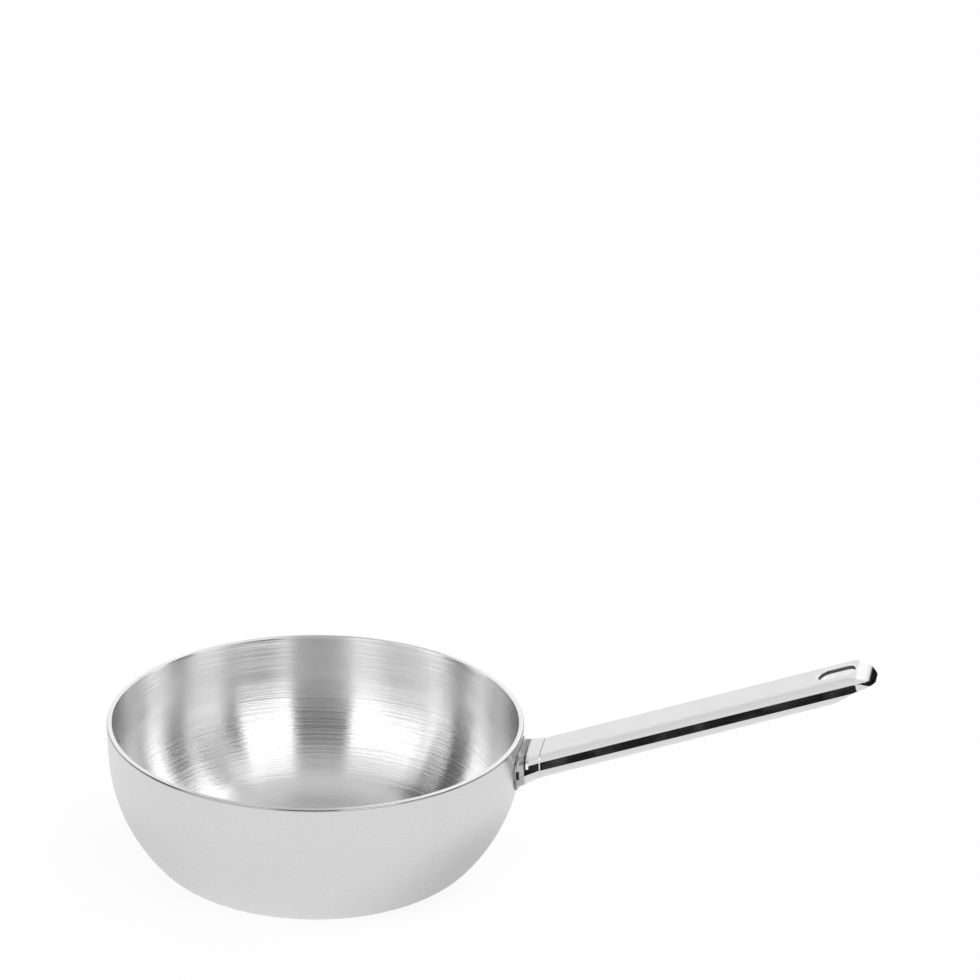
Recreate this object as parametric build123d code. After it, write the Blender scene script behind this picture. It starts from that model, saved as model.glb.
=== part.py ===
from build123d import *
import math
import os

# Saucier pan of clad sheet with a welded hollow handle, in millimetres and degrees.
# The origin is the centre of the face that the pan rests on. +X runs along the handle, +Z is up.

# Vessel, measured on its outer surface
rim_diameter = 240.0
pan_height = 88.8
straight_wall = 18.7
wall_draft = 2.6
belly_radius = 96.0
corner_radius = 32.0
rim_outer_round = 1.0
rim_inner_round = 0.3

# Plies of the clad sheet, from the stove side to the food side
outer_skin_thickness = 0.5
outer_bond_thickness = 0.25
core_thickness = 1.5
inner_bond_thickness = 0.25
liner_thickness = 0.5

# Handle: a round hollow bar with its top pressed flat, and a rounded nose
handle_reach = 215.9
handle_rise = 19.4
handle_drop = 14.8
grip_radius = 13.7
flat_height = 4.2
edge_round = 3.8
nose_round = 19.5
shell_thickness = 1.0

# Sweep of the underside towards the nose
nose_depth = 9.8
sweep_length = 21.0
sweep_bend_radius = 14.0

# Hanging slot through the handle, and the sleeve that lines it
slot_length = 26.2
slot_width = 16.5
slot_nose_gap = 10.3
sleeve_wall = 2.2
sleeve_mouth_round = 1.9

# Neck between the wall and the hollow handle, which meet in an upright plane
neck_length = 12.9
foot_flare = 2.2
foot_thickness = 0.6
foot_border = 1.7
foot_blend_radius = 1.0
spigot_length = 22.0
spigot_wall = 2.0
spigot_clearance = 0.15
neck_web = 5.0

# Welds
foot_weld_thickness = 0.4
foot_weld_border = 0.3
ring_weld_width = 0.8
weld_recess = 0.12
side_weld_height = 0.6

# One overrun serves all cuts, and one tolerance all tests of contact
overrun = 5.0
contact_tolerance = 0.03

# Places worked out from the sizes above
rim_radius = rim_diameter / 2
draft = math.radians(wall_draft)
sheet_thickness = (
    outer_skin_thickness
    + outer_bond_thickness
    + core_thickness
    + inner_bond_thickness
    + liner_thickness
)
belly_top_x = rim_radius - straight_wall * math.sin(draft)
belly_top_z = pan_height - straight_wall * math.cos(draft)
belly_centre = (
    belly_top_x - belly_radius * math.cos(draft),
    belly_top_z + belly_radius * math.sin(draft),
)
belly_end = math.asin((belly_centre[1] - corner_radius) / (belly_radius - corner_radius))
corner_centre = (
    belly_centre[0] + (belly_radius - corner_radius) * math.cos(belly_end),
    corner_radius,
)
rise = math.radians(handle_rise)
ring_start = neck_length
ring_end = ring_start + ring_weld_width
nose_centre = handle_reach - grip_radius
slot_centre = handle_reach - slot_nose_gap - slot_length / 2


def wall_points(depth):
    """Points of the line that lies the given depth inside the outer surface, from the axis to the rim."""
    belly = belly_radius - depth
    corner = corner_radius - depth
    return (
        (0, depth),
        (corner_centre[0], depth),
        arc_point(corner_centre, corner, belly_end),
        arc_point(belly_centre, belly, belly_end),
        arc_point(belly_centre, belly, draft),
        (rim_radius - depth / math.cos(draft), pan_height),
    )


def arc_point(centre, radius, angle):
    """Point of an arc at an angle below the horizontal."""
    return (centre[0] + radius * math.cos(angle), centre[1] - radius * math.sin(angle))


def wall_line(depth):
    """Edges of the line that lies the given depth inside the outer surface, from the axis to the rim."""
    axis_point, base_end, corner_end, belly_low, belly_top, rim_point = wall_points(depth)
    corner_middle = arc_point(corner_centre, corner_radius - depth, (belly_end + math.pi / 2) / 2)
    belly_middle = arc_point(belly_centre, belly_radius - depth, (belly_end + draft) / 2)
    return [
        Line(axis_point, base_end),
        ThreePointArc(base_end, corner_middle, corner_end),
        ThreePointArc(belly_low, belly_middle, belly_top),
        Line(belly_top, rim_point),
    ]


def sheet_face(outer_depth, inner_depth):
    """Half section of a layer of the sheet between two depths, drawn in X and height."""
    outer_rim = wall_points(outer_depth)[-1]
    inner_rim = wall_points(inner_depth)[-1]
    edges = wall_line(outer_depth) + wall_line(inner_depth)
    edges += [Line(outer_rim, inner_rim), Line((0, outer_depth), (0, inner_depth))]
    return make_face(edges)


def finished_sheet_face():
    """Half section of the whole sheet with its rim edges rounded."""
    face = sheet_face(0, sheet_thickness)
    rim_corners = face.vertices().group_by(Axis.Y)[-1].sort_by(Axis.X)
    face = fillet(rim_corners[-1], rim_outer_round)
    rim_corners = face.vertices().group_by(Axis.Y)[-1].sort_by(Axis.X)
    return fillet(rim_corners[0], rim_inner_round)


def ply(outer_depth, thickness, sheet):
    """One ply of the sheet, turned about the pan's axis, with its share of the rounded rim."""
    face = sheet_face(outer_depth, outer_depth + thickness) & sheet
    return revolve(Plane.XZ * face, Axis.Z)


def vessel_blank(growth):
    """Solid of the pan's outer form, grown outwards by the given amount."""
    rim_point = wall_points(-growth)[-1]
    edges = wall_line(-growth) + [Line(rim_point, (0, pan_height)), Line((0, pan_height), (0, -growth))]
    return revolve(Plane.XZ * make_face(edges), Axis.Z)


def wall_radius_at(height):
    """Outer radius of the pan at a height on its belly or its straight wall."""
    if height >= belly_top_z:
        return rim_radius - (pan_height - height) * math.tan(draft)
    fall = math.asin((belly_centre[1] - height) / belly_radius)
    return belly_centre[0] + belly_radius * math.cos(fall)


def grip_section(inset):
    """Cross-section of the handle, inset all round: a circle cut by the flat top, with rounded edges."""
    width = 2 * (grip_radius - inset)
    below_flat = Pos(0, flat_height - inset) * Rectangle(width, width, align=(Align.CENTER, Align.MAX))
    section = Circle(grip_radius - inset) & below_flat
    return fillet(section.vertices().group_by(Axis.Y)[-1], edge_round - inset)


def nose_body(inset):
    """Rounded end of the handle: half of the cross-section, turned about an upright axis."""
    one_side = Rectangle(grip_radius, 2 * grip_radius, align=(Align.MAX, Align.CENTER))
    half = grip_section(inset) & one_side
    upright = Axis((nose_centre, 0, 0), (0, 0, 1))
    return revolve(Plane.YZ.offset(nose_centre) * half, upright, 180)


def sweep_cutter(inset):
    """What the sweep takes off the underside: a ramp up from the belly, a bend and a level run."""
    climb = grip_radius + flat_height - nose_depth
    slope = math.atan2(climb, sweep_length)
    level = flat_height - nose_depth + inset
    bend = (nose_centre - inset * math.tan(slope / 2), level)
    ramp_length = (climb + overrun) / math.sin(slope)
    foot = (bend[0] - ramp_length * math.cos(slope), bend[1] - ramp_length * math.sin(slope))
    far_end = handle_reach + overrun
    face = make_face(Polyline(foot, bend, (far_end, level), (far_end, foot[1]), close=True))
    corner = face.vertices().sort_by_distance(bend)[0]
    face = fillet(corner, sweep_bend_radius + inset)
    return extrude(Plane.XZ * face, grip_radius + overrun, both=True)


def nose_cutter(inset):
    """What the large round between the flat top and the end of the nose takes off."""
    top = flat_height - inset
    end = handle_reach - inset
    radius = nose_round - inset
    corner = make_face(
        Polyline((end - radius, top), (end - radius, top + overrun), (end + overrun, top + overrun))
        + Polyline((end + overrun, top + overrun), (end + overrun, top - radius), (end, top - radius))
        + RadiusArc((end - radius, top), (end, top - radius), radius)
    )
    return extrude(Plane.XZ * corner, grip_radius + overrun, both=True)


def handle_blank(inset):
    """Solid of the handle from the wall to the nose, with every outline inset."""
    bar = extrude(Plane.YZ * grip_section(inset), nose_centre)
    return bar + nose_body(inset) - sweep_cutter(inset) - nose_cutter(inset)


def slot_prism():
    """Upright stadium through the handle at the hanging slot."""
    outline = SlotOverall(slot_length, slot_width)
    return extrude(Pos(slot_centre, 0, 0) * outline, 2 * grip_radius, both=True)


def slab(bottom, top):
    """Flat slab across the whole handle between two heights."""
    length = handle_reach + 2 * overrun
    width = 2 * (grip_radius + overrun)
    block = Box(length, width, top - bottom, align=(Align.MIN, Align.CENTER, Align.MIN))
    return Pos(-overrun, 0, bottom) * block


def upright_plane(place):
    """Plane that stands upright on the pan and crosses the handle's axis at a place along it."""
    return Plane(origin=(place, 0, 0), x_dir=(0, 1, 0), z_dir=(math.cos(rise), 0, -math.sin(rise)))


def between_uprights(start, end):
    """Block between the upright planes at two places along the handle's axis."""
    section = upright_plane(start) * Rectangle(2 * handle_reach, 2 * handle_reach)
    return extrude(section, (end - start) * math.cos(rise))


def handle_skin():
    """Hollow wall of the handle, from the ring weld to the nose, pierced by the hanging slot."""
    outside = handle_blank(0) & between_uprights(ring_end, handle_reach + grip_radius)
    return outside - handle_blank(shell_thickness) - slot_prism()


def upper_shell(skin):
    """Pressed top half of the handle."""
    return skin & slab(side_weld_height / 2, grip_radius)


def lower_shell(skin):
    """Pressed bottom half of the handle."""
    return skin & slab(-grip_radius - overrun, -side_weld_height / 2)


def side_weld(skin):
    """Weld metal between the two halves, along both sides and round the nose."""
    return skin & slab(-side_weld_height / 2, side_weld_height / 2)


def slot_sleeve():
    """Sleeve that lines the hanging slot, rounded at its mouth and cut to the handle's underside."""
    outline = SlotOverall(slot_length, slot_width)
    bore = SlotOverall(slot_length - 2 * sleeve_wall, slot_width - 2 * sleeve_wall)
    bottom = Plane.XY.offset(-grip_radius)
    ring = extrude(bottom * Pos(slot_centre, 0) * (outline - bore), grip_radius + flat_height)
    top_face = ring.faces().sort_by(Axis.Z)[-1]
    ring = fillet(top_face.inner_wires()[0].edges(), sleeve_mouth_round)
    return ring & handle_blank(0)


def ring_weld():
    """Ring of weld metal between the neck and the hollow handle, a hair below the polished surface."""
    profile = grip_section(weld_recess) - grip_section(shell_thickness)
    return extrude(Plane.YZ * profile, 2 * ring_end) & between_uprights(ring_start, ring_end)


def neck_section(place, flare_share, border):
    """Upright cross-section of the neck: the handle's own, grown by a share of the flare and by a border."""
    outline = grip_section(-foot_flare * flare_share - border)
    return upright_plane(place) * scale(outline, (1, 1 / math.cos(rise), 1))


def neck_body():
    """Outer form of the neck: it grows evenly from the handle's cross-section, through the wall's face."""
    inside_wall = -2 * overrun
    inside_share = (ring_start - inside_wall) / ring_start
    foot = neck_section(inside_wall, inside_share, 0)
    collar = neck_section(ring_start, 0, 0)
    return loft([foot.face(), collar.face()])


def spigot():
    """Hollow tongue of the neck that locates the handle from inside."""
    outer = grip_section(shell_thickness + spigot_clearance)
    return extrude(Plane.YZ.offset(neck_web) * outer, ring_end + spigot_length - neck_web)


def spigot_bore():
    """Bore that lightens the neck, open towards the hollow handle."""
    inner = grip_section(shell_thickness + spigot_clearance + spigot_wall)
    length = ring_end + spigot_length + overrun - neck_web
    return extrude(Plane.YZ.offset(neck_web) * inner, length)


def foot_prism(border):
    """Level prism through the wall with the neck's outline there, widened by a border."""
    return extrude(neck_section(0, 1, border), 2 * overrun, both=True)


def build_handle_parts():
    """The handle's pieces in their own frame, with the start of its axis on the wall."""
    skin = handle_skin()
    return {
        "handle_upper_shell": upper_shell(skin),
        "handle_lower_shell": lower_shell(skin),
        "side_weld_seam": side_weld(skin),
        "hanging_slot_sleeve": slot_sleeve(),
        "neck_weld_ring": ring_weld(),
    }


def handle_plane():
    """The handle's own frame: X along its axis, Z square to its flat top."""
    axis_height = pan_height - handle_drop
    return Plane(
        origin=(wall_radius_at(axis_height), 0, axis_height),
        x_dir=(math.cos(rise), 0, math.sin(rise)),
        z_dir=(-math.sin(rise), 0, math.cos(rise)),
    )


def seat_edges(joined, body, foot):
    """Edges along which the neck's body runs into its foot."""
    sample_shares = (0.2, 0.5, 0.8)
    return [
        edge
        for edge in joined.edges()
        if all(
            touches(body, edge.position_at(share)) and touches(foot, edge.position_at(share))
            for share in sample_shares
        )
    ]


def touches(solid, point):
    """Whether a point lies on a solid."""
    return solid.distance_to(Vertex(*point)) < contact_tolerance


def neck(frame):
    """Cast neck: its body, a foot that follows the wall, a blend between them and a hollow spigot."""
    weld_face = vessel_blank(foot_weld_thickness)
    foot_face = vessel_blank(foot_weld_thickness + foot_thickness)
    body = frame.location * neck_body() - foot_face
    foot = (foot_face & frame.location * foot_prism(foot_border)) - weld_face
    joined = body + foot
    joined = fillet(seat_edges(joined, body, foot), foot_blend_radius)
    return joined + frame.location * spigot() - frame.location * spigot_bore()


def foot_weld(frame):
    """Weld metal between the foot and the wall."""
    layer = vessel_blank(foot_weld_thickness) & frame.location * foot_prism(foot_border + foot_weld_border)
    return layer - vessel_blank(0)


def build_parts():
    """Every piece in its place, by name."""
    sheet = finished_sheet_face()
    plies = (
        ("outer_skin", outer_skin_thickness),
        ("outer_bond_layer", outer_bond_thickness),
        ("aluminium_core", core_thickness),
        ("inner_bond_layer", inner_bond_thickness),
        ("inner_liner", liner_thickness),
    )
    parts = {}
    depth = 0
    for name, thickness in plies:
        parts[name] = ply(depth, thickness, sheet)
        depth += thickness
    frame = handle_plane()
    for name, piece in build_handle_parts().items():
        parts[name] = frame.location * piece
    parts["handle_neck"] = neck(frame)
    parts["foot_weld"] = foot_weld(frame)
    return parts


os.makedirs("parts", exist_ok=True)
for name, piece in build_parts().items():
    export_step(piece, f"parts/{name}.step")
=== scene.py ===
import math

import bpy
from mathutils import Matrix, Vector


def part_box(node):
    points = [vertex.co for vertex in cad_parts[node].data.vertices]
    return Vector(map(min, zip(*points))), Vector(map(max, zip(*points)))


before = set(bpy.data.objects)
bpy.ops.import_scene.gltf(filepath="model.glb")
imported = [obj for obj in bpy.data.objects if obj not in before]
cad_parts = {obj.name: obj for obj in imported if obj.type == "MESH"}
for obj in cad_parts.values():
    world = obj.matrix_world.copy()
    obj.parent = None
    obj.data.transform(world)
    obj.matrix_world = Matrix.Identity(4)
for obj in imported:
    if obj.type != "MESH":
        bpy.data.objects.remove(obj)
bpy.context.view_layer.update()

# Camera, in metres and degrees. The photograph is 980 pixels square.
IMAGE_SIZE = 980
FOCAL_PIXELS = 8000.0
SENSOR_WIDTH = 36.0
CAMERA_PLACE = (0.6785, -4.1172, 2.0243)
CAMERA_PITCH = 23.229
CAMERA_TURN = 8.0
CAMERA_ROLL = 0.601
CAMERA_REACH = 60.0

# Brushing round the pan: cells of noise per metre across the rings, and per radian along
# them. The start keeps the rings off the grid lines of the noise, where it is even.
RING_GRAIN = (900.0, 0.0)
ARC_GRAIN = (1300.0, 14.0)
SATIN_GRAIN = (4200.0, 14.0)
SHEET_GRAIN = (5200.0, 5.0)
RIM_GRAIN = (6000.0, 30.0)
GRAIN_START = 0.37
NEAR_AXIS = 0.001

# Values of the noise between which a roughness runs from its first value to its last
LINE_RANGE = (0.35, 0.65)
GRAIN_RANGE = (0.3, 0.7)

# Brushed and satin sheet. Tones run from 0 to 1, and bumps are in metres. The grooves of the
# brushing stretch reflections fully, across a direction that is a quarter turn from the rings.
LINER_TONE = 0.86
LINER_ROUGHNESS = (0.19, 0.25)
LINER_BUMP = 0.00014
RING_DETAIL = 1.0
ARC_SHARE = 0.4
GROOVE_STRETCH = 1.0
GROOVE_TURN = 0.25
SATIN_TONE = 0.68
SATIN_ROUGHNESS = (0.26, 0.32)
SATIN_BUMP = 0.00001
SHEET_TONE = 0.8
SHEET_ROUGHNESS = (0.24, 0.34)

# Rim: its flat face, turned, with mirror polish toward the left and right sides as a painted sheen,
# and its outer round, whose dark tone is a painted dark reflection. Depths are in metres below the
# flat face.
RIM_TONE = 0.95
RIM_ROUGHNESS = 0.35
RIM_BUMP = 0.000003
# Painted sheen: tone of the mirror polish toward the rim's sides, and the share of the sideways
# distance over which it takes over
RIM_SHEEN_TONE = 0.76
RIM_SHEEN_SHARE = (0.2, 0.75)
# Painted dark reflection: the dark tone of the outer round
RIM_DARK_ROUND_TONE = 0.38
RIM_EDGE_ROUGHNESS = 0.12
RIM_EDGE_BUMP = 0.000004
RIM_FLAT_DEPTH = 0.00006
RIM_ROUND_DEPTHS = (0.0012, 0.00096)

# Mirror polish, with its slight waves and the haze of use. Its roughness stays at 0, because
# the tent and the cards show in no other metal.
MIRROR_TONE = 0.68
MIRROR_ROUGHNESS = 0.0
WAVE_SCALE = 90.0
WAVE_BUMP = 0.000004
WEAR_SCALE = 60.0
WEAR_DETAIL = 4.0
WEAR_RANGE = (0.4, 0.75)
HAZE_SHARE = (0.02, 0.08)
HAZE_ROUGHNESS = 0.25

# Fine grain of the welds and of the satin places beside them
FINE_SCALE = 900.0
FINE_DETAIL = 3.0
FINE_ROUGHNESS = 0.3
WELD_TONE = 0.75
FOOT_WELD_TONE = 0.25
WELD_ROUGHNESS = (0.2, 0.32)
WELD_BUMP = 0.00002

# Places beside the weld of the neck's foot: a satin foot, painted shade in the corner and at the
# toe of the weld, a painted dark reflection where the polish begins and a painted bright reflection
# beside it. Each has from and to along X, from and to along Z, in metres, and the tone
NECK_PLACES = {
    "satin foot": (0.1, 0.1232, 0.0, 0.0815, 0.5),
    "painted dark reflection where the polish begins": (0.1229, 0.1242, 0.0738, 0.0815, 0.06),
    "painted bright reflection beside it": (0.1242, 0.1256, 0.0738, 0.0815, 0.95),
    "painted shade in the corner": (0.1188, 0.1205, 0.0665, 0.0725, 0.03),
    "painted shade at the toe of the weld": (0.117, 0.1191, 0.0575, 0.067, 0.25),
}
NECK_SOFTNESS = 0.0003

# Sleeve of the hanging slot. Its dark band of painted shadow, under the inner edge of its upper
# mouth, lies between two depths below that mouth, in metres and square to the handle, which rises
# by an angle in degrees.
SLEEVE_TONE = 0.95
MOUTH_TONE = 0.74
MOUTH_FACING = (0.5, 0.9)
SLOT_SHADOW_TONE = 0.12
SLOT_SHADOW_DEPTH = (0.0008, 0.0029)
SLOT_SHADOW_SOFTNESS = 0.0002
HANDLE_RISE = 19.4

# Floor, and the dark cards that lie on it before the handle and beyond its end
FLOOR_SIDE = 12.0
FLOOR_TONE = 0.86
FLOOR_GLOW = 0.86
FLOOR_SHADE = 0.2
CARDS = {
    "card before the handle": (
        (0.13, -0.036), (0.336, -0.045), (0.345, -0.235), (0.117, -0.138),
    ),
    "card beyond the handle": (
        (0.36, -0.245), (0.47, -0.235), (0.515, 0.12), (0.8, 0.12), (0.72, -0.17), (0.54, -0.29),
    ),
}
CARD_LIFT = 0.0005
CARD_TONE = 0.008

# The pan's own shade on the floor, as the satin wall shows it: centre along X and Y in
# metres and share of the glow that it takes, and the distances over which it fades
SHADES = {
    "beyond the right edge": (0.08, -0.005, 0.36),
    "beyond the left edge": (-0.09, 0.0, 0.15),
}
SHADE_REACH = (0.02, 0.12)

# Studio light round the pan: an open level, and softboxes and dark flags before it.
# Each one has its azimuths and elevations in degrees, from and to, and its level.
# Azimuth 0 is where the handle points, and the camera stands at -82.
OPEN_LEVEL = 0.65
PANEL_SOFTNESS = 1.5
PANELS = {
    "left softbox": (-161, -102, -5, 34, 1.4),
    "core of the left softbox": (-148, -104, 14, 34, 2.2),
    "right softbox": (-67, -34, -5, 34, 2.1),
    "top of the right softbox": (-63, -28, 34, 58, 1.2),
    "low light right of it": (-34, -18, -5, 14, 1.6),
    "camera's place": (-101, -68, 14, 34, 0.0),
    "dim over the camera": (-101, -68, 34, 50, 0.4),
    "gap under the camera": (-93, -68, -5, 14, 0.15),
    "gap beside the right softbox": (-34, -26, 14, 34, 0.0),
    "dim right": (-26, -8, 14, 34, 0.3),
    "light over the dim right": (-28, -11, 36, 60, 1.3),
    "right flag": (-9, 7, -5, 27, 0.0),
    "narrow top of the right flag": (-5, 4, 27, 62, 0.1),
    "low light in the back right": (3, 26, -5, 14, 1.0),
    "gap in the back right": (4, 26, 14, 31, 0.1),
    "light over the gap": (3, 26, 31, 58, 1.5),
    "gap low in the back right": (26, 42, -5, 14, 0.0),
    "back right softbox": (27, 60, 14, 58, 1.6),
    "dim back": (80, 125, 14, 58, 0.55),
    "back left": (125, 148, 14, 58, 0.85),
    "low light in the back left": (148, 175, -5, 14, 1.4),
    "gap in the back left": (148, 183, 14, 58, 0.05),
    "gap left of the left flag": (-183, -171, 14, 58, 0.0),
    "left flag": (-178, -157, -5, 27, 0.0),
    "top of the left flag": (-178, -160, 27, 62, 0.3),
}

# Even tent that mirror polish shows in their place
TENT_LEVEL = 1.1
TENT_PANELS = {
    "right flag": (-9, 5, -5, 60, 0.0),
    "dimmer side over the camera": (-175, -92, -5, 62, 0.93),
    "flag behind the handle's end": (50, 73.5, -10, 18, 0.0),
    "bright panel behind the handle's end": (75, 90, 18, 30, 1.4),
}


def make_camera():
    """Camera at the photograph's viewing angle."""
    data = bpy.data.cameras.new("camera")
    data.sensor_width = SENSOR_WIDTH
    data.lens = FOCAL_PIXELS / IMAGE_SIZE * SENSOR_WIDTH
    data.clip_end = CAMERA_REACH
    camera = bpy.data.objects.new("camera", data)
    turn = Matrix.Rotation(math.radians(CAMERA_TURN), 4, "Z")
    pitch = Matrix.Rotation(math.radians(90 - CAMERA_PITCH), 4, "X")
    roll = Matrix.Rotation(math.radians(CAMERA_ROLL), 4, "Z")
    camera.matrix_world = Matrix.Translation(CAMERA_PLACE) @ turn @ pitch @ roll
    bpy.context.scene.collection.objects.link(camera)
    bpy.context.scene.camera = camera


def grey(tone):
    """Colour of one tone, from 0 for black to 1 for white."""
    return (tone, tone, tone, 1)


class Nodes:
    """Short calls that add nodes to one node tree."""

    def __init__(self, tree):
        self.tree = tree

    def add(self, kind, inputs=None, **settings):
        """Adds a node, sets its properties, and links or sets its inputs."""
        node = self.tree.nodes.new(kind)
        for name, value in settings.items():
            setattr(node, name, value)
        for name, value in (inputs or {}).items():
            if isinstance(value, bpy.types.NodeSocket):
                self.tree.links.new(value, node.inputs[name])
            else:
                node.inputs[name].default_value = value
        return node

    def math(self, operation, first, second=0.0):
        """Result of one sum."""
        return self.add("ShaderNodeMath", {0: first, 1: second}, operation=operation).outputs[0]

    def length(self, first, second):
        """Length of a flat vector."""
        squares = [self.math("MULTIPLY", side, side) for side in (first, second)]
        return self.math("SQRT", self.math("ADD", *squares))

    def ramp(self, value, low, high, out_low=0.0, out_high=1.0):
        """Value mapped smoothly from one range to another."""
        inputs = {"Value": value, "From Min": low, "From Max": high}
        inputs.update({"To Min": out_low, "To Max": out_high})
        node = self.add("ShaderNodeMapRange", inputs, interpolation_type="SMOOTHSTEP")
        return node.outputs["Result"]

    def window(self, value, start, end, softness):
        """1 between two edges and 0 beyond them, with soft edges."""
        rise = self.ramp(value, start - softness, start + softness)
        fall = self.ramp(value, end - softness, end + softness, 1.0, 0.0)
        return self.math("MULTIPLY", rise, fall)

    def mix(self, share, first, second):
        """Blend of two numbers."""
        inputs = {"Factor": share, "A": first, "B": second}
        return self.add("ShaderNodeMix", inputs, data_type="FLOAT").outputs[0]

    def mixed(self, share, first, second):
        """Blend of two shaders."""
        return self.add("ShaderNodeMixShader", {0: share, 1: first, 2: second}).outputs[0]

    def place(self, kind="Object"):
        """Place on the object, or another kind of coordinates."""
        return self.add("ShaderNodeTexCoord").outputs[kind]

    def axes(self, letters, kind="Object"):
        """The coordinates along some axes, one by one."""
        split = self.add("ShaderNodeSeparateXYZ", {0: self.place(kind)}).outputs
        return [split[letter] for letter in letters]

    def noise(self, place, scale=1.0, detail=2.0):
        """Noise value at a place."""
        inputs = {"Vector": place, "Scale": scale, "Detail": detail}
        return self.add("ShaderNodeTexNoise", inputs).outputs[0]

    def diffuse(self, tone):
        """Matt surface of one tone."""
        return self.add("ShaderNodeBsdfDiffuse", {"Color": grey(tone)}).outputs[0]

    def metal(self, tone, roughness, height, depth, **extra):
        """Metal surface of one tone, with its bump."""
        bump = self.add("ShaderNodeBump", {"Height": height, "Distance": depth, "Strength": 1.0})
        inputs = {"Base Color": grey(tone), "Metallic": 1.0, "Roughness": roughness}
        inputs.update(extra, Normal=bump.outputs[0])
        return self.add("ShaderNodeBsdfPrincipled", inputs).outputs[0]

    def finish(self, surface):
        """Ends a material with its surface."""
        self.add("ShaderNodeOutputMaterial", {"Surface": surface})


def new_material(name):
    """Material with an empty node tree."""
    material = bpy.data.materials.new(name)
    material.use_nodes = True
    material.node_tree.nodes.clear()
    return material, Nodes(material.node_tree)


def brushing(nodes, across, along):
    """Noise that changes fast across the pan's rings and slowly along them, without a seam."""
    x, y, z = nodes.axes("XYZ")
    radius = nodes.length(x, y)
    safe = nodes.math("MAXIMUM", radius, NEAR_AXIS)
    turned = [nodes.math("MULTIPLY", nodes.math("DIVIDE", side, safe), along) for side in (x, y)]
    inputs = {
        "X": nodes.math("MULTIPLY", nodes.math("ADD", radius, z), across),
        "Y": nodes.math("ADD", turned[0], GRAIN_START),
        "Z": nodes.math("ADD", turned[1], GRAIN_START),
    }
    return nodes.add("ShaderNodeCombineXYZ", inputs).outputs[0]


def grooves(nodes):
    """Inputs of a metal whose fine grooves run round the pan."""
    tangent = nodes.add("ShaderNodeTangent", direction_type="RADIAL", axis="Z").outputs[0]
    return {"Anisotropic": GROOVE_STRETCH, "Anisotropic Rotation": GROOVE_TURN, "Tangent": tangent}


def grained(nodes, tone, grain, roughness, depth):
    """Metal whose roughness and bump follow one grain."""
    return nodes.metal(tone, nodes.ramp(grain, *GRAIN_RANGE, *roughness), grain, depth)


def with_rim(nodes, surface, edge_tone):
    """Surface with the rim's flat face and outer round over it. Mirror polish toward the face's
    left and right sides is a painted sheen, and a dark edge tone on the round is a painted dark
    reflection.
    """
    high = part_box("outer_skin")[1]
    x, z = nodes.axes("XZ")
    flat = nodes.ramp(z, high.z - RIM_FLAT_DEPTH, high.z)
    rounded = nodes.ramp(z, *(high.z - depth for depth in RIM_ROUND_DEPTHS))
    grain = nodes.noise(brushing(nodes, *RIM_GRAIN))
    # The outer round in the edge tone, which is a painted dark reflection where that tone is dark
    round_surface = nodes.metal(edge_tone, RIM_EDGE_ROUGHNESS, grain, RIM_EDGE_BUMP)
    turned = nodes.metal(RIM_TONE, RIM_ROUGHNESS, grain, RIM_BUMP, **grooves(nodes))
    # Painted sheen: mirror polish that brightens the rim's left and right sides
    side_sheen = nodes.metal(RIM_SHEEN_TONE, MIRROR_ROUGHNESS, grain, RIM_BUMP)
    sideways = nodes.math("DIVIDE", nodes.math("ABSOLUTE", x), high.x)
    ground = nodes.mixed(nodes.ramp(sideways, *RIM_SHEEN_SHARE), turned, side_sheen)
    return nodes.mixed(flat, nodes.mixed(rounded, surface, round_surface), ground)


def brushed_inside():
    """Liner: brushed in circles, so that it mirrors the studio as upright streaks."""
    material, nodes = new_material("brushed_inside")
    lines = nodes.noise(brushing(nodes, *RING_GRAIN), detail=RING_DETAIL)
    arcs = nodes.noise(brushing(nodes, *ARC_GRAIN))
    height = nodes.math("ADD", nodes.math("MULTIPLY", arcs, ARC_SHARE), lines)
    roughness = nodes.ramp(lines, *LINE_RANGE, *LINER_ROUGHNESS)
    brushed = nodes.metal(LINER_TONE, roughness, height, LINER_BUMP, **grooves(nodes))
    nodes.finish(with_rim(nodes, brushed, LINER_TONE))
    return material


def satin_outside():
    """Outer skin: a fine satin finish."""
    material, nodes = new_material("satin_outside")
    grain = nodes.noise(brushing(nodes, *SATIN_GRAIN))
    satin = grained(nodes, SATIN_TONE, grain, SATIN_ROUGHNESS, SATIN_BUMP)
    nodes.finish(with_rim(nodes, satin, RIM_DARK_ROUND_TONE))
    return material


def aluminium_sheet():
    """Aluminium plies, which show only in the ground rim."""
    material, nodes = new_material("aluminium_sheet")
    grain = nodes.noise(brushing(nodes, *SHEET_GRAIN))
    rolled = grained(nodes, SHEET_TONE, grain, SHEET_ROUGHNESS, SATIN_BUMP)
    nodes.finish(with_rim(nodes, rolled, RIM_DARK_ROUND_TONE))
    return material


def polish(nodes, tone):
    """Mirror polish under the faint haze of use."""
    place = nodes.place()
    waves = nodes.noise(place, WAVE_SCALE)
    mirror = nodes.metal(tone, MIRROR_ROUGHNESS, waves, WAVE_BUMP)
    haze = nodes.metal(tone, HAZE_ROUGHNESS, waves, WAVE_BUMP)
    wear = nodes.noise(place, WEAR_SCALE, WEAR_DETAIL)
    return nodes.mixed(nodes.ramp(wear, *WEAR_RANGE, *HAZE_SHARE), mirror, haze)


def polished_handle():
    """Shells of the handle."""
    material, nodes = new_material("polished_handle")
    nodes.finish(polish(nodes, MIRROR_TONE))
    return material


def depth_below_mouth(nodes):
    """Depth below the sleeve's upper mouth, square to the handle's slope."""
    rise, run = math.sin(math.radians(HANDLE_RISE)), math.cos(math.radians(HANDLE_RISE))
    corners = [vertex.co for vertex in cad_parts["hanging_slot_sleeve"].data.vertices]
    top = max(run * corner.z - rise * corner.x for corner in corners)
    x, z = nodes.axes("XZ")
    height = nodes.math("SUBTRACT", nodes.math("MULTIPLY", z, run), nodes.math("MULTIPLY", x, rise))
    return nodes.math("SUBTRACT", top, height)


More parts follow.
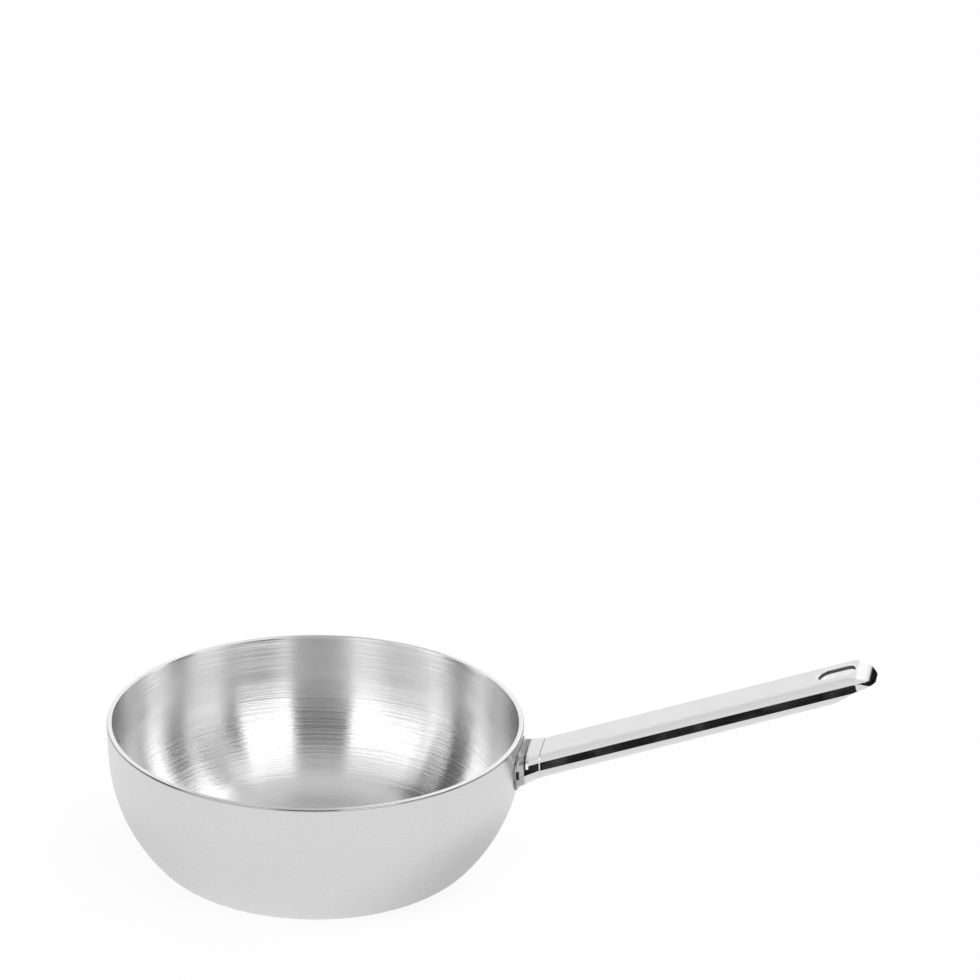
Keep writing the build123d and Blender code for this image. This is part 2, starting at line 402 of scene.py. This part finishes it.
def polished_sleeve():
    """Sleeve of the slot, brighter inside than on its mouths, with a dark band of painted shadow
    under the upper one.
    """
    material, nodes = new_material("polished_sleeve")
    grain = nodes.noise(nodes.place(), FINE_SCALE, FINE_DETAIL)
    # The seam here is painted shadow: a dark band under the upper mouth's inner edge
    seam = nodes.metal(SLOT_SHADOW_TONE, FINE_ROUGHNESS, grain, SATIN_BUMP)
    where = nodes.window(depth_below_mouth(nodes), *SLOT_SHADOW_DEPTH, SLOT_SHADOW_SOFTNESS)
    inside = nodes.mixed(where, polish(nodes, SLEEVE_TONE), seam)
    upright = nodes.math("ABSOLUTE", *nodes.axes("Z", "Normal"))
    mouth = nodes.ramp(upright, *MOUTH_FACING)
    nodes.finish(nodes.mixed(mouth, inside, polish(nodes, MOUTH_TONE)))
    return material


def polished_neck():
    """Neck: polished, with a satin foot, and with painted shade and painted dark and bright
    reflections in places beside the weld.
    """
    material, nodes = new_material("polished_neck")
    x, z = nodes.axes("XZ")
    grain = nodes.noise(nodes.place(), FINE_SCALE, FINE_DETAIL)
    surface = polish(nodes, MIRROR_TONE)
    # Each place is satin metal of its own tone: the foot, and patches of painted shade and painted
    # reflection
    for start, end, low, high, tone in NECK_PLACES.values():
        along = nodes.window(x, start, end, NECK_SOFTNESS)
        where = nodes.math("MULTIPLY", along, nodes.window(z, low, high, NECK_SOFTNESS))
        satin = nodes.metal(tone, FINE_ROUGHNESS, grain, SATIN_BUMP)
        surface = nodes.mixed(where, surface, satin)
    nodes.finish(surface)
    return material


def weld_metal(name, tone):
    """Weld beads, brushed back."""
    material, nodes = new_material(name)
    grain = nodes.noise(nodes.place(), FINE_SCALE, FINE_DETAIL)
    nodes.finish(grained(nodes, tone, grain, WELD_ROUGHNESS, WELD_BUMP))
    return material


def add_sheet(name, corners, height):
    """Flat sheet at a height, kept out of the part."""
    mesh = bpy.data.meshes.new(name)
    mesh.from_pydata([(x, y, height) for x, y in corners], [], [tuple(range(len(corners)))])
    sheet = bpy.data.objects.new(name, mesh)
    bpy.context.scene.collection.objects.link(sheet)
    return sheet


def shaded(nodes):
    """Share of the floor's glow that the pan's shade leaves."""
    x, y = nodes.axes("XY")
    left = 1.0
    for centre_x, centre_y, taken in SHADES.values():
        off_x, off_y = nodes.math("SUBTRACT", x, centre_x), nodes.math("SUBTRACT", y, centre_y)
        shade = nodes.ramp(nodes.length(off_x, off_y), *SHADE_REACH, 1 - taken, 1.0)
        left = nodes.math("MULTIPLY", shade, left)
    return left


def make_floor():
    """Pale floor that the camera sees nearly white, with the pan's faint shadow."""
    half = FLOOR_SIDE / 2
    floor = add_sheet("floor", ((-half, -half), (half, -half), (half, half), (-half, half)), 0)
    material, nodes = new_material("floor")
    path = nodes.add("ShaderNodeLightPath").outputs
    in_satin = nodes.math("SUBTRACT", path["Is Glossy Ray"], path["Is Singular Ray"])
    dimmed = nodes.math("MULTIPLY", shaded(nodes), FLOOR_GLOW)
    strength = nodes.mix(in_satin, FLOOR_GLOW, dimmed)
    glow = nodes.add("ShaderNodeEmission", {"Color": grey(1), "Strength": strength})
    seen = nodes.add("ShaderNodeAddShader", {0: nodes.diffuse(FLOOR_SHADE), 1: glow.outputs[0]})
    in_view = nodes.math("MAXIMUM", path["Is Camera Ray"], path["Is Glossy Ray"])
    nodes.finish(nodes.mixed(in_view, nodes.diffuse(FLOOR_TONE), seen.outputs[0]))
    floor.data.materials.append(material)


def make_cards():
    """Dark cards on the floor, which only mirror-polished metal shows."""
    material, nodes = new_material("card")
    clear = nodes.add("ShaderNodeBsdfTransparent").outputs[0]
    mirrored = nodes.add("ShaderNodeLightPath").outputs["Is Singular Ray"]
    nodes.finish(nodes.mixed(mirrored, clear, nodes.diffuse(CARD_TONE)))
    for name, corners in CARDS.items():
        card = add_sheet(name, corners, CARD_LIFT)
        card.visible_camera = False
        card.visible_diffuse = False
        card.visible_shadow = False
        card.data.materials.append(material)


def with_panels(nodes, azimuth, elevation, panels, level):
    """Level with panels before it, each one before the last."""
    for start, end, low, high, panel_level in panels.values():
        across = nodes.window(azimuth, start, end, PANEL_SOFTNESS)
        inside = nodes.math("MULTIPLY", across, nodes.window(elevation, low, high, PANEL_SOFTNESS))
        level = nodes.mix(inside, level, panel_level)
    return level


def make_studio():
    """Surroundings: panels round the pan, and an even tent in what mirror polish shows."""
    world = bpy.data.worlds.new("studio")
    world.use_nodes = True
    world.node_tree.nodes.clear()
    nodes = Nodes(world.node_tree)
    x, y, z = nodes.axes("XYZ", "Generated")
    azimuth = nodes.math("DEGREES", nodes.math("ARCTAN2", y, x))
    elevation = nodes.math("DEGREES", nodes.math("ARCSINE", z))
    studio = with_panels(nodes, azimuth, elevation, PANELS, OPEN_LEVEL)
    tent = with_panels(nodes, azimuth, elevation, TENT_PANELS, TENT_LEVEL)
    mirrored = nodes.add("ShaderNodeLightPath").outputs["Is Singular Ray"]
    inputs = {"Color": grey(1), "Strength": nodes.mix(mirrored, studio, tent)}
    background = nodes.add("ShaderNodeBackground", inputs)
    nodes.add("ShaderNodeOutputWorld", {"Surface": background.outputs[0]})
    bpy.context.scene.world = world


def paint(material, names):
    """Gives CAD nodes a material in all their slots."""
    for name in names:
        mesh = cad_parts[name].data
        mesh.materials.clear()
        mesh.materials.append(material)


make_camera()
make_floor()
make_cards()
make_studio()
bpy.context.scene.view_settings.view_transform = "Standard"
paint(brushed_inside(), ["inner_liner"])
paint(satin_outside(), ["outer_skin"])
paint(aluminium_sheet(), ["inner_bond_layer", "aluminium_core", "outer_bond_layer"])
paint(polished_handle(), ["handle_upper_shell", "handle_lower_shell", "side_weld_seam"])
paint(polished_sleeve(), ["hanging_slot_sleeve"])
paint(polished_neck(), ["handle_neck"])
paint(weld_metal("weld_metal", WELD_TONE), ["neck_weld_ring"])
paint(weld_metal("dark_weld_metal", FOOT_WELD_TONE), ["foot_weld"])
